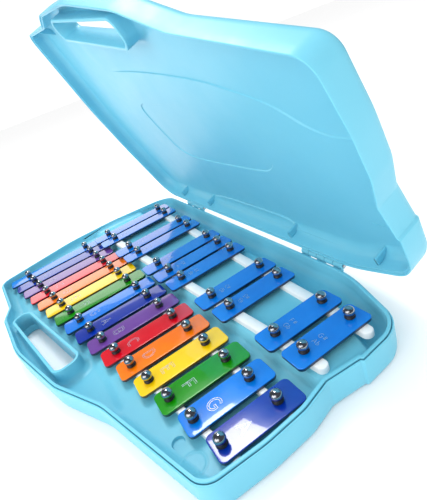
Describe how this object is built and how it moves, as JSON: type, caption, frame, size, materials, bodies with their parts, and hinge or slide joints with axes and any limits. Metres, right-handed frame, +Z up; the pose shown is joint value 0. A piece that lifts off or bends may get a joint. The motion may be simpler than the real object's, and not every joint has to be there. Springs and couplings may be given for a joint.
{
  "type": "glockenspiel",
  "caption": "Chromatic glockenspiel of coloured metal bars on rails in a hinged plastic carrying case with a handle.",
  "frame": {"origin": "centre of the base's flat underside", "axes": "+X towards the high notes, +Y towards the hinge, +Z up"},
  "size_m": [0.3819, 0.2373, 0.235],
  "materials": {
    "case_plastic": "satin moulded polypropylene",
    "hinge_steel": "plain drawn wire",
    "rail_white": "soft matte",
    "grommet_rubber": "semi-gloss black",
    "pin_chrome": "polished",
    "bar_blue": "gloss enamel",
    "bar_navy": "gloss enamel",
    "bar_purple": "gloss enamel",
    "bar_red": "gloss enamel",
    "bar_orange": "gloss enamel",
    "bar_yellow": "gloss enamel",
    "bar_green": "gloss enamel"
  },
  "bodies": {
    "base": {"base_shell": "case_plastic", "bar_deck": "case_plastic", "hinge_pin_low": "hinge_steel", "hinge_pin_high": "hinge_steel", "rail_naturals_front": "rail_white", "rail_naturals_back": "rail_white", "rail_sharps_front": "rail_white", "rail_sharps_back": "rail_white", "grommets_naturals_front": "grommet_rubber", "grommets_naturals_back": "grommet_rubber", "grommets_sharps_front": "grommet_rubber", "grommets_sharps_back": "grommet_rubber", "pins_naturals_front": "pin_chrome", "pins_naturals_back": "pin_chrome", "pins_sharps_front": "pin_chrome", "pins_sharps_back": "pin_chrome", "bar_g5": "bar_blue", "bar_a5": "bar_navy", "bar_b5": "bar_purple", "bar_c6": "bar_red", "bar_d6": "bar_orange", "bar_e6": "bar_yellow", "bar_f6": "bar_green", "bar_g6": "bar_blue", "bar_a6": "bar_navy", "bar_b6": "bar_purple", "bar_c7": "bar_red", "bar_d7": "bar_orange", "bar_e7": "bar_yellow", "bar_f7": "bar_green", "bar_g7": "bar_blue", "bar_a7": "bar_navy", "bar_gs5": "bar_blue", "bar_as5": "bar_blue", "bar_cs6": "bar_blue", "bar_ds6": "bar_blue", "bar_fs6": "bar_blue", "bar_gs6": "bar_blue", "bar_as6": "bar_blue", "bar_cs7": "bar_blue", "bar_ds7": "bar_blue", "bar_fs7": "bar_blue", "bar_gs7": "bar_blue"},
    "lid": {"lid_shell": "case_plastic"}
  },
  "joints": [
    {"name": "lid_hinge", "type": "hinge", "parent": "base", "child": "lid", "pos_m": [0, 0.1139, 0.02], "axis": [-1, 0, 0], "range_deg": [-70.4, 109.6]}
  ]
}
